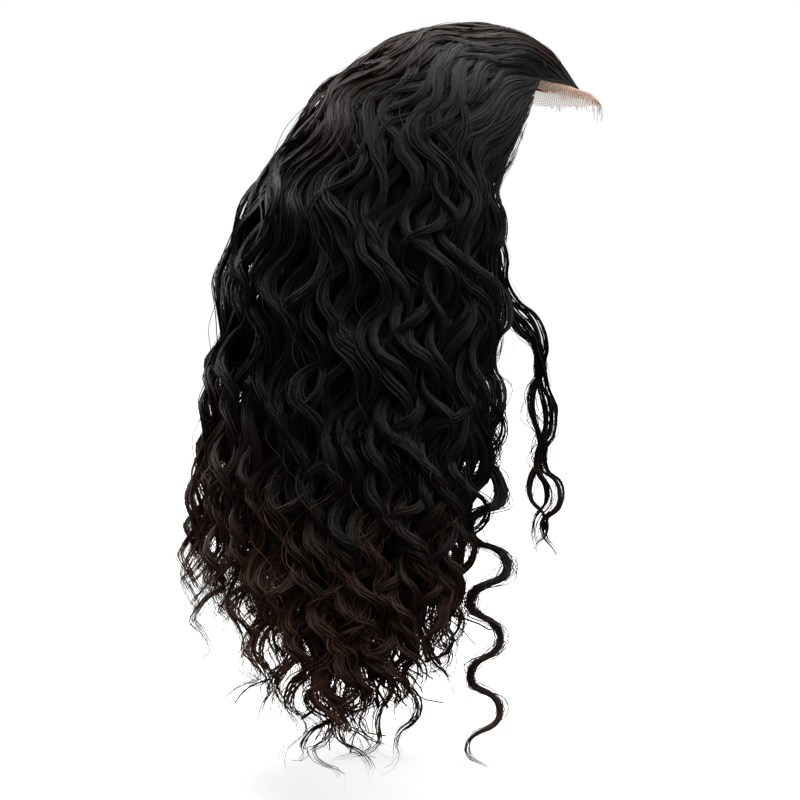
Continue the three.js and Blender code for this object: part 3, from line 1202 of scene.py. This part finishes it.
    def drift(self, along: Array, rng: Random) -> Array:
        """Slow uneven drift of single strands.

        Args:
            along: Lengths from the root.
            rng: Random values of the section.

        Returns:
            Values from about -1 to 1, of the same shape.
        """
        form = self.form
        total = np.zeros_like(along)
        shortest = np.maximum(form.drift_length, form.drift_rings * (along[:, 1:2] - along[:, :1]))
        for low, high in form.drift_lengths:
            run = shortest * rng.uniform(low, high, (len(along), 1))
            start = rng.uniform(0.0, FULL_TURN, (len(along), 1))
            total += form.drift * np.sin(start + FULL_TURN * along / run)
        return total

    def eased(self, places: Array) -> Array:
        """Ease runs where the hair turns from the head into its fall.

        Args:
            places: Runs, of shape (strands, samples, 3).

        Returns:
            Runs with the same ends.
        """
        for _ in range(self.form.easing_rounds):
            middle = 0.25 * places[:, :-2] + 0.5 * places[:, 1:-1] + 0.25 * places[:, 2:]
            places = np.concatenate([places[:, :1], middle, places[:, -1:]], axis=1)
        return places

    def rings(self, strands: Strands, plan: LayerPlan, places: Array, outward: Array) -> Array:
        """Corners of each strand along its run.

        Args:
            strands: The strands' values.
            plan: The layer's plan.
            places: Runs of the strands.
            outward: Outward directions along the runs.

        Returns:
            Corners, of shape (strands, samples, edges, 3).
        """
        form = self.form
        share = np.linspace(0.0, 1.0, plan.samples)[None, :]
        rooted = lerp(form.root_width, 1.0, smoothstep(share, 0.0, form.root_end))
        body = rooted * lerp(1.0, form.tip_width, smoothstep(share, plan.taper, 1.0))
        width = (strands.half_width[:, None] * body)[..., None]
        onward = unit(np.gradient(places, axis=1))
        across = unit(np.cross(onward, outward))
        out = np.cross(across, onward)
        if not plan.thickness:
            roll = strands.roll[:, None, None]
            across = across * np.cos(roll) + out * np.sin(roll)
            return np.stack([places - across * width, places + across * width], axis=2)
        thick = plan.thickness * body[..., None]
        left = places - across * width - out * thick * form.edge_sink
        ridge = places + out * thick
        right = places + across * width - out * thick * form.edge_sink
        return np.stack([left, ridge, right], axis=2)

    def lengthwise_map(self, strands: Strands, plan: LayerPlan, along: Array) -> Array:
        """Flat map of the strands in millimetres: across their girth, and along their length.

        Args:
            strands: The strands' values.
            plan: The layer's plan.
            along: Lengths from the root.

        Returns:
            Map coordinates of every face corner, of shape (corners, 2).
        """
        total, samples = along.shape
        faces_across = plan.edges - 1
        girth = strands.half_width[:, None, None, None] * self.form.girth
        first = np.arange(total)[:, None, None, None] * self.form.map_step
        side = np.arange(faces_across)[None, None, :, None] + np.array([0, 1, 1, 0])[None, None, None, :]
        shape = (total, samples - 1, faces_across, 4)
        u = np.broadcast_to(first + girth * side / faces_across, shape)
        upper = along[:, :-1, None, None]
        lower = along[:, 1:, None, None]
        v = np.broadcast_to(np.concatenate([upper, upper, lower, lower], axis=3), shape)
        return np.stack([u, v], axis=-1).reshape(-1, 2)

    def write_values(self, mesh: bpy.types.Mesh, flat_map: Array, brown: Array, shade: Array) -> None:
        """Write the strands' map and their brown and shade values to the mesh.

        Args:
            mesh: Mesh of the section.
            flat_map: Map coordinates of the face corners.
            brown: How brown each corner is, from 0 to 1, partly painted light shining through thin ends and a
                painted warm sheen on the crown.
            shade: How light each strand is, about 1.
        """
        layer = mesh.uv_layers.new(name="strand_mm")
        layer.data.foreach_set("uv", flat_map.astype(np.float32).ravel())
        for name, values in (("brown", brown), ("shade", shade)):
            attribute = mesh.attributes.new(name, "FLOAT", "POINT")
            attribute.data.foreach_set("value", values.astype(np.float32))


RIGHT_LOCK_WAVES = WaveStyle(
    top_length=60.0,
    end_length=49.0,
    top_sideways=3.5,
    end_sideways=10.0,
    top_outwards=2.5,
    end_outwards=5.0,
    end_drops=(150.0, 235.0),
    meander=1.0,
    tip_swing=0.7,
    curl_turns=0.0,
    hook=0.4,
)
LEFT_LOCK_WAVES = replace(RIGHT_LOCK_WAVES, end_sideways=6.5)
RIGHT_LOCK = HairSection(
    "right_front_lock",
    (-1.0, -0.93),
    (-487, -487),
    pull=(0.0, 7.0),
    forward_drop=191.0,
    waves=RIGHT_LOCK_WAVES,
)
LEFT_LOCK = HairSection(
    "left_front_lock",
    (0.93, 1.0),
    (-367, -367),
    pull=(46.0, 0.0),
    forward_drop=150.0,
    sub_locks=3,
    lock_spread=1.9,
    waves=LEFT_LOCK_WAVES,
)


@dataclass
class Hair:
    """All the hair, in the sections that it is tied and sewn in."""

    finish: BlackHair = field(default_factory=BlackHair)
    sections: tuple[HairSection, ...] = (
        RIGHT_LOCK,
        HairSection("right_temple_weft", (-0.955, -0.73), (-412, -442)),
        HairSection("right_side_weft", (-0.73, -0.5), (-446, -480)),
        HairSection("right_closure_hair", (-0.5, -0.2), (-482, -408)),
        HairSection("middle_closure_hair", (-0.2, 0.2), (-390, -390)),
        HairSection("left_closure_hair", (0.2, 0.5), (-408, -482)),
        HairSection("left_side_weft", (0.5, 0.73), (-480, -446)),
        HairSection("left_temple_weft", (0.73, 0.955), (-442, -412)),
        LEFT_LOCK,
    )

    def build(self) -> list[bpy.types.Object]:
        """Lay every section and give back their pieces."""
        material = self.finish.material()
        return [section.build(material, number) for number, section in enumerate(self.sections)]


# Cap and lace


@dataclass
class StretchCap:
    """Net cap that carries the wefts, open below and cut out for the lace.

    Rows run from crown_start to covered_edge, shares of the way from the crown to the cap's edge.
    """

    head: HeadForm = field(default_factory=HeadForm)
    finish: StretchNet = field(default_factory=StretchNet)
    wall: float = 1.2
    columns: int = 96
    rows: int = 28
    crown_start: float = 0.012
    covered_edge: float = 0.965
    closure_width: float = 100.0
    closure_back_y: float = -2.0
    closure_low_z: float = -75.0
    cut_width: float = 300.0
    cut_length: float = 320.0
    cut_area: float = 40000.0

    def build(self) -> bpy.types.Object:
        """Build the cap as one cloth with a knitted wall.

        Returns:
            The cap's piece.
        """
        azimuth = np.linspace(-180.0, 180.0, self.columns, endpoint=False)
        edge_angle = np.arccos(self.head.edge(azimuth)[:, 2])
        angle = edge_angle[:, None] * np.linspace(self.crown_start, self.covered_edge, self.rows)[None, :]
        turn = np.radians(azimuth)[:, None]
        across = np.sin(angle)
        direction = np.stack([across * np.sin(turn), -across * np.cos(turn), np.cos(angle)], axis=-1)
        corners = self.head.place(direction, 0.0).reshape(-1, 3)
        column = np.arange(self.columns)[:, None] * self.rows
        after = (np.arange(self.columns)[:, None] + 1) % self.columns * self.rows
        row = np.arange(self.rows - 1)[None, :]
        faces = [column + row, column + row + 1, after + row + 1, after + row]
        quads = np.stack(faces, axis=-1).reshape(-1, 4)
        cap = mesh_object("cap_net", corners, quads)
        way_out = np.stack([np.sin(turn), -np.cos(turn)], axis=-1)
        flat_map = (way_out * (angle * self.head.half_length)[..., None]).reshape(-1, 2)
        layer = cap.data.uv_layers.new(name="cap_mm")
        layer.data.foreach_set("uv", flat_map[quads.ravel()].astype(np.float32).ravel())
        self.cut_closure(cap.data)
        wall = cap.modifiers.new("wall", "SOLIDIFY")
        wall.thickness = self.wall * MM
        wall.offset = 1.0
        cap.data.materials.append(self.finish.material())
        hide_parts("cap")
        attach(cap, "root")
        return cap

    def cut_closure(self, mesh: bpy.types.Mesh) -> None:
        """Cut the place of the lace panel out of the cap.

        Args:
            mesh: The cap's mesh, in metres.
        """
        half = self.closure_width / 2 * MM
        back = self.closure_back_y * MM
        low = self.closure_low_z * MM
        sideways, backwards = (1, 0, 0), (0, 1, 0)
        cloth = bmesh.new()
        cloth.from_mesh(mesh)
        for place, normal in (((-half, 0, 0), sideways), ((half, 0, 0), sideways), ((0, back, 0), backwards)):
            everything = cloth.verts[:] + cloth.edges[:] + cloth.faces[:]
            bmesh.ops.bisect_plane(cloth, geom=everything, plane_co=place, plane_no=normal)
        cut = []
        for face in cloth.faces:
            middle = face.calc_center_median()
            if abs(middle.x) < half and middle.y < back and middle.z > low:
                cut.append(face)
        bmesh.ops.delete(cloth, geom=cut, context="FACES")
        cloth.to_mesh(mesh)
        cloth.free()


@dataclass
class LaceClosure:
    """Sheer lace panel that the front hair is tied into, with an untrimmed flange beyond the hairline.

    Real lace has about 0.6 mm between its holes, too fine to show, so the net is drawn with cell_mm between
    them. Fray lengths are the lowest and highest, and askew is a direction that no thread runs in.
    """

    head: HeadForm = field(default_factory=HeadForm)
    finish: SwissLace = field(default_factory=SwissLace)
    cell_mm: float = 1.8
    cells_across: int = 64
    cells_along: int = 90
    thread_radius: float = 0.19
    askew: Triple = (0.3, 0.2, 0.93)
    width: float = 99.0
    back_y: float = -2.6
    height: float = 0.5
    flange: float = 17.0
    temple_flange: float = 14.0
    temple_azimuth: float = 50.0
    lift: float = 36.0
    lift_fade: float = 4.0
    droop: float = 6.0
    droop_start: float = 8.0
    arc_radius: float = 94.0
    edge_step: float = 0.02
    cut_width: float = 108.0
    cut_length: float = 112.0
    fray_radius: float = 0.11
    frayed_threads: int = 84
    fray_points: int = 8
    fray_azimuth: float = 46.0
    fray_length: Span = (1.0, 4.0)
    front_fray_azimuth: float = 16.0
    front_fray_length: Span = (4.0, 17.0)
    fray_inset: float = 0.4
    fray_stray: float = 0.25
    fray_crimp: float = 0.12
    fray_fall_end: float = 0.5

    def build(self) -> bpy.types.Object:
        """Build the net and its frayed edge.

        Returns:
            The lace's piece.
        """
        net = self.net_threads()
        fray = self.frayed_edge()
        net_corners = self.threads(net, self.thread_radius)
        fray_corners = self.threads(fray, self.fray_radius)
        sides = len(THREE_WAYS)
        net_quads = run_quads(len(net), 2, sides, closed=True)
        fray_quads = run_quads(len(fray), self.fray_points, sides, closed=True) + len(net_corners)
        corners = np.concatenate([net_corners, fray_corners])
        lace = mesh_object("lace_net", corners, np.concatenate([net_quads, fray_quads]))
        lace.data.materials.append(self.finish.material())
        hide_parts("lace_closure")
        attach(lace, "root")
        return lace

    def flange_width(self, azimuth: Array) -> Array:
        """Width of the flange beyond the hairline at an azimuth."""
        return lerp(self.flange, self.temple_flange, smoothstep(np.abs(azimuth), 0.0, self.temple_azimuth))

    def frayed_edge(self) -> Array:
        """Loose threads that hang from the cut edge, longest over the middle of the forehead.

        Returns:
            Points along the threads, of shape (threads, points, 3).
        """
        rng = np.random.default_rng(SEED)
        azimuth = rng.uniform(-self.fray_azimuth, self.fray_azimuth, self.frayed_threads)
        edge_reach = np.arccos(self.head.edge(azimuth)[:, 2]) * self.arc_radius
        reach = edge_reach + self.flange_width(azimuth) - self.fray_inset
        turn = np.radians(azimuth)
        way_out = np.stack([np.sin(turn), -np.cos(turn)], axis=1)
        start = self.laid(way_out * reach[:, None])[0]
        # The way that the net runs at its edge, taken from a millimetre further in
        heading = unit(start - self.laid(way_out * (reach - 1.0)[:, None])[0])
        heading += rng.normal(0.0, self.fray_stray, heading.shape)
        front = np.abs(azimuth) < self.front_fray_azimuth
        share = rng.uniform(0.0, 1.0, self.frayed_threads) ** 2
        length = np.where(front, lerp(*self.front_fray_length, share), lerp(*self.fray_length, share))
        points = np.linspace(0.0, 1.0, self.fray_points)[None, :, None]
        down = np.array([0.0, 0.0, -1.0])
        heading = unit(lerp(heading[:, None, :], down, smoothstep(points, 0.0, self.fray_fall_end)))
        heading[:, :, :2] += rng.normal(0.0, self.fray_crimp, (self.frayed_threads, self.fray_points, 2))
        steps = heading * (length / (self.fray_points - 1))[:, None, None]
        steps[:, 0] = 0.0
        return start[:, None, :] + np.cumsum(steps, axis=1)

    def net_threads(self) -> Array:
        """Threads of a six-sided net over the panel.

        Returns:
            Ends of the threads, of shape (threads, 2, 3).
        """
        side = self.cell_mm / math.sqrt(3.0)
        columns = np.arange(-self.cells_across, self.cells_across + 1)
        rows = np.arange(-self.cells_along, self.cells_along + 1)
        i, j = np.meshgrid(columns, rows, indexing="ij")
        x = (i * self.cell_mm + (j % 2) * self.cell_mm / 2).ravel()
        y = (j * side * 1.5).ravel()
        top = np.stack([x, y], axis=1) + np.array([0.0, side])
        arms = np.stack([np.cos(THREE_WAYS), np.sin(THREE_WAYS)], axis=1) * side
        flat = np.concatenate([np.stack([top, top + arm], axis=1) for arm in arms])
        places, kept = self.laid(flat.reshape(-1, 2))
        both = kept.reshape(-1, 2).all(axis=1)
        return places.reshape(-1, 2, 3)[both]

    def laid(self, flat: Array) -> tuple[Array, Array]:
        """Lay flat places on the head and out along the flange.

        Args:
            flat: Places on the flat net, whose middle is the crown and whose -Y is the forehead.

        Returns:
            Places in the frame, and which of them belong to the panel.
        """
        reach = np.hypot(flat[:, 0], flat[:, 1])
        azimuth = np.degrees(np.arctan2(flat[:, 0], -flat[:, 1]))
        edge = self.head.edge(azimuth)
        edge_angle = np.arccos(np.clip(edge[:, 2], -1.0, 1.0))
        turn = np.radians(azimuth)

        def dome(at: Array) -> Array:
            """Place on the head at an angle from the crown."""
            direction = np.stack([np.sin(at) * np.sin(turn), -np.sin(at) * np.cos(turn), np.cos(at)], axis=-1)
            return self.head.place(direction, np.full(at.shape, self.height))

        places = dome(np.minimum(reach / self.arc_radius, edge_angle))
        along = unit(dome(edge_angle) - dome(edge_angle - self.edge_step))
        fade = np.cos(turn) ** self.lift_fade
        lift = np.radians(self.lift) * fade
        away = along * np.cos(lift)[:, None] + self.head.normal(edge) * np.sin(lift)[:, None]
        past = np.maximum(reach - edge_angle * self.arc_radius, 0.0)
        places += away * past[:, None]
        drooping = np.maximum(past - self.droop_start, 0.0) / (self.flange - self.droop_start)
        places[:, 2] -= self.droop * drooping**2 * fade
        within = (np.abs(places[:, 0]) <= self.width / 2) & (places[:, 1] <= self.back_y)
        return places, within & (past <= self.flange_width(azimuth))

    def threads(self, lines: Array, radius: float) -> Array:
        """Corners of three-sided threads along lines of points.

        Args:
            lines: Points along the threads, of shape (threads, points, 3).
            radius: Radius of the threads.

        Returns:
            Corners, of shape (threads * points * 3, 3).
        """
        run = unit(np.gradient(lines, axis=1))
        aside = unit(np.cross(run, np.array(self.askew)))
        other = np.cross(run, aside)
        turns = THREE_WAYS[:, None]
        ring = aside[:, :, None, :] * np.cos(turns) + other[:, :, None, :] * np.sin(turns)
        return (lines[:, :, None, :] + ring * radius).reshape(-1, 3)


# Studio


@dataclass(frozen=True)
class SoftBox:
    """Square soft box, with its power in watts, and its side and place in metres."""

    name: str
    power: float
    side: float
    place: Triple


@dataclass
class Studio:
    """Pale floor, soft light, and the camera at the photograph's angle. Lengths are in metres."""

    finish: WhitePaint = field(default_factory=WhitePaint)
    target: Triple = (0.0, 0.035, -0.248)
    distance: float = 1.45
    elevation: float = 3.0
    frame_width: float = 0.56
    sensor_width: float = 36.0
    floor_z: float = -0.515
    floor_half: float = 6.0
    sun_strength: float = 3.4
    sun_spread: float = 60.0
    sun_place: Triple = (0.25, -0.15, 1.5)
    sun_aim: Triple = (0.0, 0.0, -0.25)
    box_aim: Triple = (0.0, 0.02, -0.2)
    wall_light: float = 0.13
    boxes: tuple[SoftBox, ...] = (
        SoftBox("key_box", 9.0, 0.9, (-1.1, -0.75, 0.75)),
        SoftBox("back_box", 13.0, 0.7, (0.5, 1.2, 0.8)),
        SoftBox("front_box", 7.0, 0.9, (0.5, -1.5, 0.1)),
    )

    def build(self) -> None:
        """Set the stage."""
        self.camera()
        self.floor()
        self.lights()
        self.surroundings()

    def camera(self) -> None:
        """Place the camera level with the wig, on the wearer's right."""
        data = bpy.data.cameras.new("camera")
        data.sensor_width = self.sensor_width
        data.lens = data.sensor_width * self.distance / self.frame_width
        camera = bpy.data.objects.new("camera", data)
        rise = math.radians(self.elevation)
        target = Vector(self.target)
        camera.location = target + self.distance * Vector((-math.cos(rise), 0.0, math.sin(rise)))
        camera.rotation_euler = (target - camera.location).to_track_quat("-Z", "Y").to_euler()
        bpy.context.scene.collection.objects.link(camera)
        bpy.context.scene.camera = camera

    def floor(self) -> None:
        """Lay the floor just below the lowest ends."""
        half, z = self.floor_half / MM, self.floor_z / MM
        corners = np.array([[-half, -half, z], [half, -half, z], [half, half, z], [-half, half, z]])
        floor = mesh_object("floor", corners, np.array([[0, 1, 2, 3]]))
        floor.data.materials.append(self.finish.material())
        floor.visible_diffuse = False
        floor.visible_glossy = False

    def lights(self) -> None:
        """Hang an even overhead light, and soft boxes on the camera's side, behind and in front."""
        sun = bpy.data.lights.new("overhead", "SUN")
        sun.energy = self.sun_strength
        sun.angle = math.radians(self.sun_spread)
        self.hang(sun, self.sun_place, self.sun_aim)
        for box in self.boxes:
            light = bpy.data.lights.new(box.name, "AREA")
            light.energy = box.power
            light.size = box.side
            self.hang(light, box.place, self.box_aim)

    def hang(self, data: bpy.types.Light, place: Triple, aim: Triple) -> None:
        """Hang one light and aim it.

        Args:
            data: The light.
            place: Where it hangs.
            aim: What it points at.
        """
        light = bpy.data.objects.new(data.name, data)
        light.location = place
        light.rotation_euler = (Vector(aim) - Vector(place)).to_track_quat("-Z", "Y").to_euler()
        bpy.context.scene.collection.objects.link(light)

    def surroundings(self) -> None:
        """Give the studio white walls that light the wig less than they show."""
        world = bpy.data.worlds.new("white_studio")
        world.use_nodes = True
        tree = world.node_tree
        tree.nodes.clear()
        path = add_node(tree, "LightPath")
        shown = {"Value": path.outputs["Is Camera Ray"], "To Min": self.wall_light, "To Max": 1.0}
        strength = add_node(tree, "MapRange", inputs=shown)
        walls = {"Color": linear(WHITE), "Strength": strength.outputs["Result"]}
        white = add_node(tree, "Background", inputs=walls)
        add_node(tree, "OutputWorld", inputs={"Surface": white.outputs["Background"]})
        bpy.context.scene.world = world
        bpy.context.scene.view_settings.view_transform = "Standard"


def main() -> None:
    """Build the wig piece by piece, set the stage, and note the sizes."""
    logging.basicConfig(level=logging.INFO, format="%(name)s: %(message)s")
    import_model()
    Studio().build()
    for piece in (StretchCap().build(), LaceClosure().build(), *Hair().build()):
        LOG.info("%s: %d faces", piece.name, len(piece.data.polygons))


if __name__ == "__main__":
    main()
